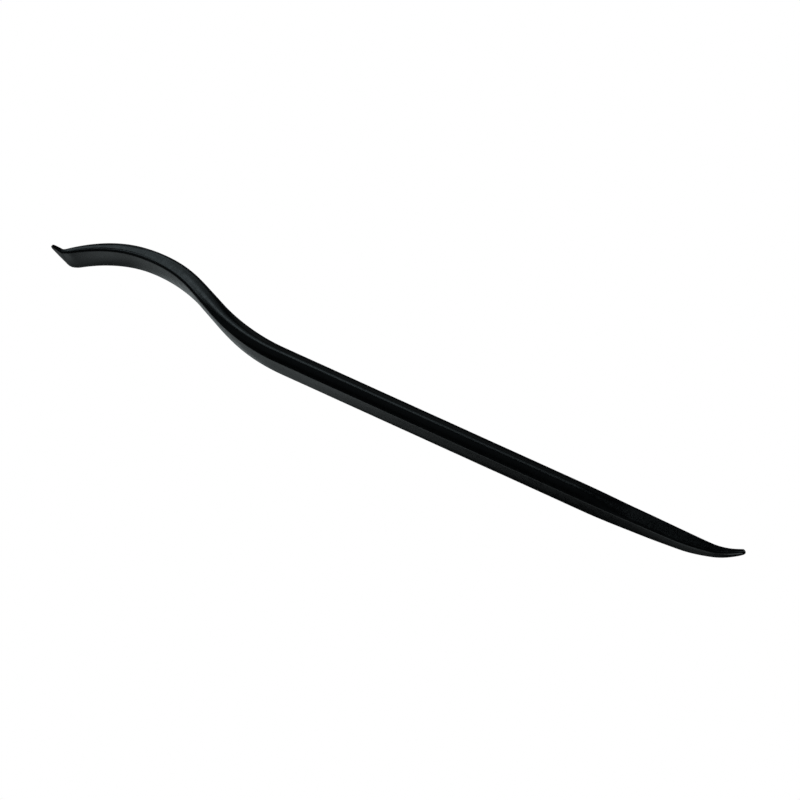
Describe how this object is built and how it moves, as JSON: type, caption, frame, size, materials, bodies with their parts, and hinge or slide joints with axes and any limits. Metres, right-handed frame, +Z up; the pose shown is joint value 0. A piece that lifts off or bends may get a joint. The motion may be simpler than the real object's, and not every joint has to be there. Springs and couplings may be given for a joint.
{
  "type": "spudger",
  "caption": "One-piece double-ended pry spudger: six-sided black bar with an arched thin blade and upturned lip at one end and a small upturned point at the other.",
  "frame": {"origin": "on the bench under the middle of the bounding box, with the lever lying on its side as it comes to rest", "axes": "+X along the straight shank from the lip towards the point, +Y to the side that the arch bulges to, +Z up"},
  "size_m": [0.1948, 0.0102, 0.0068],
  "materials": {
    "satin_black_steel": "satin"
  },
  "bodies": {
    "root": {"pry_lever": "satin_black_steel"}
  },
  "joints": []
}
